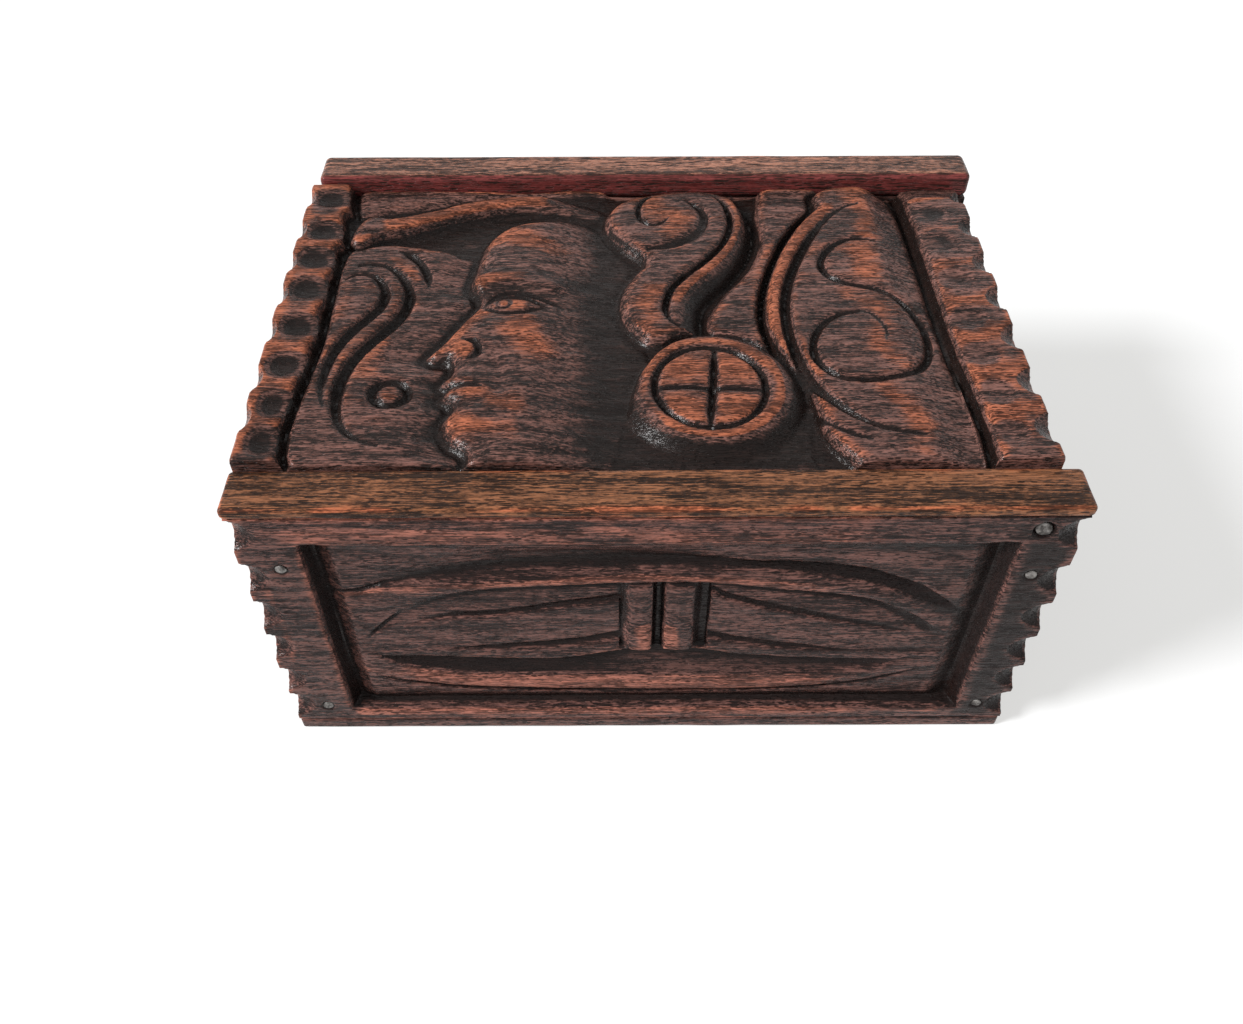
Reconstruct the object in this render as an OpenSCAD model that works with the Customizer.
// Carved wooden keepsake box with a lid that turns on two nails near its right end.
// Frame: +X to the right along the length, +Y to the back, +Z up, the origin under
// the middle of the outline, with the base board lying on Z = 0.

/* [Box] */
// Length of the base and of the front and back boards
box_w = 130.6; // [110:0.2:160]
// Depth over the front and back boards
box_d = 96.6; // [85:0.2:120]
// Thickness of the base board
base_t = 3; // [2:0.1:5]
// Thickness of the front and back boards
board_t = 8.4; // [7:0.1:10]
// How far the tops of the front and back boards lie below the top of the lid
board_drop = 4; // [3:0.1:5]
// Thickness of the side boards
side_t = 10; // [8:0.1:12]

/* [Rails] */
// Thickness of the front rail
front_rail_t = 2.3; // [1.5:0.1:4]
// Thickness of the back rail
back_rail_t = 5.2; // [2:0.1:7]
// How far a rail stands out past its board, at the face and at each end
rail_over = 0.4; // [0.2:0.1:1.5]

/* [Lid] */
// Height of the top of the lid's carved borders
lid_top = 62.4; // [62:0.1:75]
// Thickness of the lid at its borders
lid_t = 10.4; // [9:0.1:12]
// Gap from the lid's front and back edges to the boards
lid_gap = 0.4; // [0.2:0.05:0.8]
// How far the lid stops short of the right end of the boards
lid_short = 2.6; // [1:0.1:3.5]
// How far the lid's left edge flares out towards the back
lid_flare = 1.6; // [0:0.1:2]
// Gap under the closed lid where it lies on the left side board
seat_gap = 0.05; // [0.02:0.01:0.2]
// Width of the left border
border_left = 9; // [7:0.1:12]
// Width of the right border
border_right = 12; // [9:0.1:14]
// Depth of the carved field below the borders
field_depth = 3.2; // [2:0.1:4]
// Height of the raised figures above the field
relief = 2.7; // [1:0.1:3]
// Height of the lower panels beside the figures above the field
low_relief = 1.8; // [0.8:0.1:2]
// Width of a cut line
line_w = 1.1; // [0.6:0.1:2]
// Depth of a cut line
line_depth = 0.8; // [0.4:0.1:1.5]

/* [Hinge] */
// Distance of the hinge line from the right end of the boards
pin_in = 6.3; // [6:0.1:8]
// Height of the hinge line above the underside of the lid
pin_up = 3.2; // [2.5:0.1:4]
// Radius of a hinge nail
pin_r = 0.9; // [0.7:0.05:1.2]
// Radius of a hinge nail's head
pin_head_r = 1.3; // [1.2:0.05:1.8]
// How far a hinge nail reaches into the lid
pin_reach = 14; // [8:0.5:20]
// Radial clearance of a hinge nail in the lid
pin_clear = 0.06; // [0.03:0.01:0.1]
// Depth of the hollow round a hinge nail's head
pin_hollow = 0.9; // [0.7:0.1:1.5]
// Height from the top of the right side board to the hinge line
pin_over_side = 4.4; // [4.35:0.05:5]

/* [Nails] */
// Radius of a small nail
nail_r = 0.6; // [0.4:0.05:0.8]
// Radius of a small nail's head
nail_head_r = 0.95; // [0.9:0.05:1.4]
// Thickness of a nail's head
nail_head_t = 0.5; // [0.3:0.05:0.8]
// Length of a corner nail
nail_len = 20; // [14:0.5:24]
// Length of a base nail
base_nail_len = 12; // [8:0.5:14]
// Radial clearance round a driven nail
nail_clear = 0.02; // [0.01:0.01:0.05]
// Height of the lower corner nails
nail_low = 7.6; // [6:0.1:10]
// How far the upper left corner nails lie below the top of the left side board
nail_drop_left = 5.4; // [4:0.1:10]
// How far the upper right corner nails lie below the top of the right side board
nail_drop_right = 6.3; // [4:0.1:10]
// Distance of the left corner nails from the end of the board
nail_in_left = 6.2; // [5:0.1:7]
// Distance of the right corner nails from the end of the board
nail_in_right = 5.4; // [5:0.1:7]

/* [Carving] */
// Distance from one corner scallop to the next
scallop_pitch = 9.3; // [8:0.1:12]
// Height of a corner scallop
scallop_h = 6.6; // [5:0.1:7.5]
// Width of a corner scallop on the face of the board
scallop_face = 4; // [3:0.1:4.3]
// Width of a corner scallop on the end of the board
scallop_end = 2.4; // [1.5:0.1:5]
// Scallops down each corner
scallop_count = 6; // [3:1:6]
// Height of the lowest scallop above the base board
scallop_first = 5; // [4:0.1:6]
// Distance from one lid scallop to the next
lid_scallop_pitch = 10.6; // [9:0.1:12]
// Length of a lid scallop along the edge
lid_scallop_l = 6.6; // [5:0.1:8]
// Width of a left lid scallop on the top of the lid
lid_scallop_left = 1.6; // [1:0.1:2.5]
// Width of a right lid scallop on the top of the lid
lid_scallop_right = 3; // [2:0.1:3.5]
// Width of a lid scallop down the end of the lid
lid_scallop_end = 2.2; // [1.5:0.1:4]
// Depth of a scoop inside the left border
scoop_depth = 1.2; // [0.6:0.1:2]
// Radius of a scoop inside the left border
scoop_r = 5; // [4:0.1:6]
// Depth of the panel sunk in the front and back
panel_depth = 1.8; // [1:0.1:3]
// Height of the lens carving above the sunk panel
lens_relief = 1.2; // [0.5:0.1:1.5]

/* [Hidden] */
$fn = 96;
DARK = [0.24, 0.13, 0.10];
WOOD = [0.36, 0.19, 0.13];
WORN = [0.46, 0.24, 0.16];
STEEL = [0.55, 0.53, 0.50];
NAILS = 4;
BASE_NAILS = 6;
through = 1;
board_top = lid_top - board_drop;
left = -box_w / 2 + (lid_flare - rail_over) / 2;
right = left + box_w;
front = -box_d / 2;
back = box_d / 2;
lid_bottom = lid_top - lid_t;
lid_front = front + board_t + lid_gap;
lid_back = back - board_t - lid_gap;
lid_right = right - lid_short;
lid_d = lid_back - lid_front;
field_z = lid_top - field_depth;
field_left = left + border_left;
field_right = lid_right - border_right;
pin_x = right - pin_in;
pin_z = lid_bottom + pin_up;
side_top_left = lid_bottom - seat_gap;
side_top_right = pin_z - pin_over_side;
side_len = box_d - 2 * board_t;
nail_high_left = side_top_left - nail_drop_left;
nail_high_right = side_top_right - nail_drop_right;
panel_foot = 4.5;
panel_rim = 7.2;
panel_low = base_t + panel_foot;
panel_high = board_top - panel_rim;
panel_in = 11;
panel_mid_z = (panel_low + panel_high) / 2;
panel_mid_x = (left + right) / 2;
lens_in_x = 3;
lens_in_z = 4.5;
lens_w = 3.5;
eye_in_x = 12;
eye_in_z = 10.5;
eye_w = 2.5;
post_w = 5.2;
post_slot = 1.5;
hollow_rim = 0.5;
base_nail_in = 5;
base_nail_gap = 1.7;

// Places of the corner nails along X and Z, the same at the front and at the back
corner_nails = [
    [left + nail_in_left, nail_high_left], [left + nail_in_left, nail_low],
    [right - nail_in_right, nail_high_right], [right - nail_in_right, nail_low]];
// Places of the base nails along X and Y
base_nails = [for (side = [-1, 1], k = [-1:1])
    [(left + right) / 2 + side * (box_w / 2 - base_nail_in),
        k * (box_d / 2 - nail_len - base_nail_gap)]];

// Radius of an arc from its chord and its depth
function arc_r(chord, depth) = (chord * chord / 4 + depth * depth) / (2 * depth);

// A plain board between two opposite corners
module board(low, high) {
    translate(low) cube(high - low);
}

// A round-headed nail that points along +Z with the top of its head at Z = 0
module nail(r, head_r, len, grow = 0) {
    tip = 2 * r;
    translate([0, 0, -grow]) cylinder(r = head_r + grow, h = nail_head_t + 2 * grow);
    cylinder(r = r + grow, h = len - tip + grow);
    translate([0, 0, len - tip]) cylinder(r1 = r + grow, r2 = r / 4 + grow, h = tip + grow);
}

// Puts its children at the front, or turned about at the back, at one X and Z
module at_face(x, z, is_back) {
    y = is_back ? back : front;
    translate([x, y, z]) rotate([is_back ? 90 : -90, 0, 0]) children();
}

// Distance from a square edge to the deepest line of a gouge that is cut across it
function gouge_depth(a, b) = a * b / sqrt(a * a + b * b);

// A gouge across an edge that runs along Z through the origin, the wood lying at +X and +Y.
// It is len long on the edge and reaches a along X and b along Y.
module edge_gouge(len, a, b) {
    depth = gouge_depth(a, b);
    r = arc_r(len, depth);
    rotate([0, 0, atan2(a, b)]) translate([depth - r, 0, 0])
        rotate([90, 0, 0]) cylinder(r = r, h = 2 * (a + b), center = true);
}

// Scallops down both outer corners of the front or back board
module corner_scallops(is_back) {
    for (k = [0:scallop_count - 1]) {
        z = base_t + scallop_first + k * scallop_pitch;
        for (is_right = [false, true])
            translate([is_right ? right : left, is_back ? back : front, z])
                scale([is_right ? -1 : 1, is_back ? -1 : 1, 1])
                    edge_gouge(scallop_h, scallop_face, scallop_end);
    }
}

// A lens outline with pointed ends, centred on the origin
module lens(len, height) {
    r = arc_r(len, height / 2);
    intersection() {
        translate([0, r - height / 2]) circle(r, $fn = 180);
        translate([0, height / 2 - r]) circle(r, $fn = 180);
    }
}

// A curved band between two lenses
module lens_band(len, height, width) {
    difference() {
        lens(len, height);
        lens(len - 3 * width, height - 2 * width);
    }
}

// The sunk panel with its lens carving, cut into a face that lies in the XY plane
module carved_panel() {
    w = box_w - 2 * panel_in;
    h = panel_high - panel_low;
    difference() {
        translate([-w / 2, -h / 2, -panel_depth]) cube([w, h, panel_depth + through]);
        translate([0, 0, -panel_depth - through]) linear_extrude(lens_relief + through) {
            lens_band(w - 2 * lens_in_x, h - 2 * lens_in_z, lens_w);
            lens_band(w - 2 * eye_in_x, h - 2 * eye_in_z, eye_w);
            for (side = [-1, 1]) translate([side * (post_w + post_slot) / 2, 1])
                square([post_w, h - 2 * eye_in_z], center = true);
        }
    }
}

// A board that closes the front or the back
module face_board(is_back) {
    y = is_back ? back - board_t : front;
    difference() {
        board([left, y, base_t], [right, y + board_t, board_top]);
        corner_scallops(is_back);
        translate([panel_mid_x, is_back ? back : front, panel_mid_z])
            rotate([90, 0, is_back ? 180 : 0]) carved_panel();
        for (p = corner_nails) at_face(p[0], p[1], is_back)
            nail(nail_r, nail_head_r, nail_len, nail_clear);
        at_face(pin_x, pin_z, is_back) {
            cylinder(r = pin_r + nail_clear, h = board_t + through);
            cylinder(r = pin_head_r + hollow_rim, h = 2 * pin_hollow, center = true);
        }
    }
}

module base_board() {
    color(DARK) difference() {
        board([left, front, 0], [right, back, base_t]);
        for (p = base_nails) translate([p[0], p[1], 0])
            nail(nail_r, nail_head_r, base_nail_len, nail_clear);
    }
}

module front_board() {
    color(WOOD) face_board(false);
}

module back_board() {
    color(WOOD) face_board(true);
}

// A side board between the front and back boards, with the nails' holes in it
module side_board(x, top) {
    difference() {
        board([x, front + board_t, base_t], [x + side_t, back - board_t, top]);
        for (p = corner_nails, is_back = [false, true]) at_face(p[0], p[1], is_back)
            nail(nail_r, nail_head_r, nail_len, nail_clear);
        for (p = base_nails) translate([p[0], p[1], 0])
            nail(nail_r, nail_head_r, base_nail_len, nail_clear);
    }
}

module left_side() {
    color(WOOD) side_board(left, side_top_left);
}

module right_side() {
    color(WOOD) side_board(right - side_t, side_top_right);
}

module front_rail() {
    color(WORN) board([left - rail_over, front - rail_over, board_top],
        [right + rail_over, front + board_t, board_top + front_rail_t]);
}

module back_rail() {
    color(WORN) board([left - rail_over, back - board_t, board_top],
        [right + rail_over, back + rail_over, board_top + back_rail_t]);
}

// The lid's outline, wider at the back left corner
module lid_plan() {
    polygon([[left, lid_front], [lid_right, lid_front],
        [lid_right, lid_back], [left - lid_flare, lid_back]]);
}

// Direction of a line at one of its points, from its neighbours
function heading(p, i) = let (d = p[min(i + 1, len(p) - 1)] - p[max(i - 1, 0)]) d / norm(d);

// The points shifted square to the line by side
function beside(p, side) = [for (i = [0:len(p) - 1]) let (d = heading(p, i))
    p[i] + side * [-d[1], d[0]]];

// A line of even width through points
module stroke(p, w) {
    far = beside(p, -w / 2);
    polygon(concat(beside(p, w / 2), [for (i = [len(p) - 1:-1:0]) far[i]]));
}

// Places on the lid are measured from the left end and the face of the front board
boss_at = [75.5, 25.7];
boss_r = 15;
boss_ring_r = 9.4;
boss_cross = 17;
button_at = [22.4, 25.6];
button_r = 3;

// The round boss, which runs straight down to the lid's front edge
module boss_plan() {
    translate(boss_at) circle(boss_r);
    translate([boss_at[0] - boss_r, 0]) square([2 * boss_r, boss_at[1]]);
}

// The curled lock that stands above the boss
curl = [[66, 38], [61.5, 42.5], [59.8, 50], [62, 57.5], [64.6, 62.2], [60, 68.5], [57.3, 75],
    [58.6, 81], [64, 85.2], [72, 87], [80.5, 86.4], [85.4, 82], [86.5, 74], [84.6, 65],
    [80.6, 57], [76.4, 51], [75, 44], [75.2, 38]];

// The long leaf at the right
leaf = [[115.2, 0], [100, 0], [100, 8], [92.5, 14.5], [91.3, 21.5], [88.6, 32], [85.6, 40],
    [85.6, 50], [89.4, 64], [95, 75.6], [98.4, 82], [101.4, 87], [106, 90], [113, 90],
    [115.2, 82], [115.2, 40]];

// The swept band over the brow
band = [[9.5, 68.5], [9.6, 74], [13.2, 78.4], [24, 80.2], [36, 84.9], [46, 85.4], [56, 82.6],
    [60, 78.5], [50, 79], [43, 80.4], [32, 77.5], [20, 72.2]];

// The head in profile, facing left: a plain face on even thirds of brow, nose and chin
hairline = 74;
chin = 13;
forehead = 34;
third = (hairline - chin) / 3;
brow = hairline - third;
nose = brow - third;
mouth = nose - third / 3;
head = [[forehead + 11, hairline + 3], [forehead + 1.2, hairline - 5],
    [forehead - 0.9, brow + 1.2], [forehead + 0.9, brow - 3.2], [forehead - 1.6, brow - 8.5],
    [forehead - 7.2, nose + 2.2], [forehead - 2.6, nose - 0.4], [forehead - 4.6, mouth + 1.7],
    [forehead - 3, mouth], [forehead - 4, mouth - 1.9], [forehead - 2, mouth - 4.6],
    [forehead - 3.2, mouth - 8.4], [forehead + 1.5, chin - 2.2], [forehead + 2.5, 0],
    [59.6, 0], [59.6, 48], [59, 70], [50, 78]];

// The lower panels: one at the left, and the ground between the curl and the leaf
left_panel = [[8, 0], [8, 64], [12.5, 67.6], [17, 68.8], [24, 67.8], [31, 65.6], [36, 60],
    [36, 0]];
middle_ground = [[75, 38], [75.5, 46], [79, 53.5], [84, 61], [87, 70], [87, 80], [90, 90],
    [104, 90], [100, 60], [92, 36]];

// Cut lines on the figures
figure_cuts = [
    [[68.5, 84.5], [65, 81], [64.5, 76], [67.5, 73.7], [70, 75.5]],
    [[79.5, 83.5], [82, 76], [80, 67.5], [74.5, 59.5], [69.5, 52.5], [68.6, 46], [70.5, 42.4]],
    [[107, 81], [100.6, 75.6], [94.6, 65], [90.4, 53], [89.3, 41], [91.1, 30], [95, 21.8],
        [101.6, 16.2], [107.5, 14.6]],
    [[108.6, 68], [103, 68.2], [98, 62.6], [98.6, 56.4], [107.2, 52.2], [112, 46],
        [112.9, 36.6], [109, 30], [101, 27.9], [94.4, 30.6], [93.4, 38.4], [98.4, 45],
        [103.9, 45.4], [105.6, 38]],
    [[13.2, 76], [20, 77.4], [31, 82.2], [42, 84.5], [56, 81.4]]];

// Cut lines on the left panel
panel_cuts = [
    [[10.7, 57], [14.4, 58.5], [18.3, 53.5], [16.6, 46.2], [12, 38], [10.9, 30], [12, 22.4]],
    [[12.5, 61], [17, 61.4], [22.4, 54], [19.4, 41.8], [14.5, 32], [14.2, 21], [21.8, 13]],
    [[19.8, 65.8], [24, 62], [26, 55.4]]];

// Everything that is raised to the figures' height
module relief_plan() {
    boss_plan();
    for (outline = [curl, leaf, band, head]) polygon(outline);
}

// A ring of even width
module ring(r) {
    difference() {
        circle(r + line_w / 2);
        circle(r - line_w / 2);
    }
}

// The ring and cross on the boss and the figures' other lines
module figure_lines() {
    translate(boss_at) {
        ring(boss_ring_r);
        square([boss_cross, line_w], center = true);
        square([line_w, boss_cross], center = true);
    }
    for (line = figure_cuts) stroke(line, line_w);
}

// The button's ring and the left panel's other lines
module panel_lines() {
    translate(button_at) ring(button_r);
    for (line = panel_cuts) stroke(line, line_w);
}

// Cuts its children line_depth deep into wood that stands height above the field
module cut_lines(height) {
    translate([left, front, field_z + height - line_depth]) linear_extrude(field_depth)
        children();
}

// What is raised above the lid's field, up to a height and inside the lid's outline
module raised(height) {
    translate([0, 0, field_z - through]) linear_extrude(height + through)
        intersection() {
            translate([left, front]) children();
            lid_plan();
        }
}

// Scallops along the lid's left and right top edges and scoops inside the left one
module lid_scallops() {
    count = floor(lid_d / lid_scallop_pitch);
    for (k = [0:count - 1]) {
        y = lid_front + (k + 0.6) * lid_scallop_pitch;
        flare = lid_flare * (y - lid_front) / lid_d;
        translate([left - flare, y, lid_top]) rotate([-90, 0, 0])
            edge_gouge(lid_scallop_l, lid_scallop_left, lid_scallop_end);
        translate([lid_right, y, lid_top]) rotate([-90, 0, 0]) scale([-1, 1, 1])
            edge_gouge(lid_scallop_l, lid_scallop_right, lid_scallop_end);
        translate([left + border_left / 2, y, lid_top - scoop_depth + scoop_r])
            rotate([90, 0, 0]) sphere(r = scoop_r);
    }
}

// The rounded lower right corner, which turns clear of the side board
module lid_corner() {
    corner = lid_right - pin_x;
    difference() {
        board([pin_x, lid_front - through, lid_bottom - through],
            [lid_right + through, lid_back + through, pin_z]);
        translate([pin_x, 0, pin_z]) rotate([90, 0, 0])
            cylinder(r = corner, h = box_d, center = true, $fn = 180);
    }
}

module lid() {
    color(WOOD) difference() {
        translate([0, 0, lid_bottom]) linear_extrude(lid_t) lid_plan();
        difference() {
            board([field_left, lid_front - through, field_z],
                [field_right, lid_back + through, lid_top + through]);
            raised(relief) relief_plan();
            raised(low_relief) {
                polygon(left_panel);
                polygon(middle_ground);
            }
        }
        cut_lines(relief) figure_lines();
        cut_lines(low_relief) panel_lines();
        lid_scallops();
        lid_corner();
        for (is_back = [false, true]) at_face(pin_x, pin_z, is_back)
            cylinder(r = pin_r + pin_clear, h = board_t + lid_gap + pin_reach + through);
    }
}

// A hinge nail, sunk in its hollow
module hinge_pin(is_back) {
    color(STEEL) at_face(pin_x, pin_z, is_back) translate([0, 0, pin_hollow - nail_head_t])
        nail(pin_r, pin_head_r, board_t + lid_gap + pin_reach - pin_hollow);
}

module hinge_pin_front() {
    hinge_pin(false);
}

module hinge_pin_back() {
    hinge_pin(true);
}

module corner_nail(i, is_back) {
    p = corner_nails[i - 1];
    color(STEEL) at_face(p[0], p[1], is_back) nail(nail_r, nail_head_r, nail_len);
}

module base_nail(i) {
    p = base_nails[i - 1];
    color(STEEL) translate([p[0], p[1], 0]) nail(nail_r, nail_head_r, base_nail_len);
}

base_board();
front_board();
back_board();
left_side();
right_side();
front_rail();
back_rail();
lid();
hinge_pin_front();
hinge_pin_back();
for (i = [1:NAILS]) {
    corner_nail(i, false);
    corner_nail(i, true);
}
for (i = [1:BASE_NAILS]) {
    base_nail(i);
}
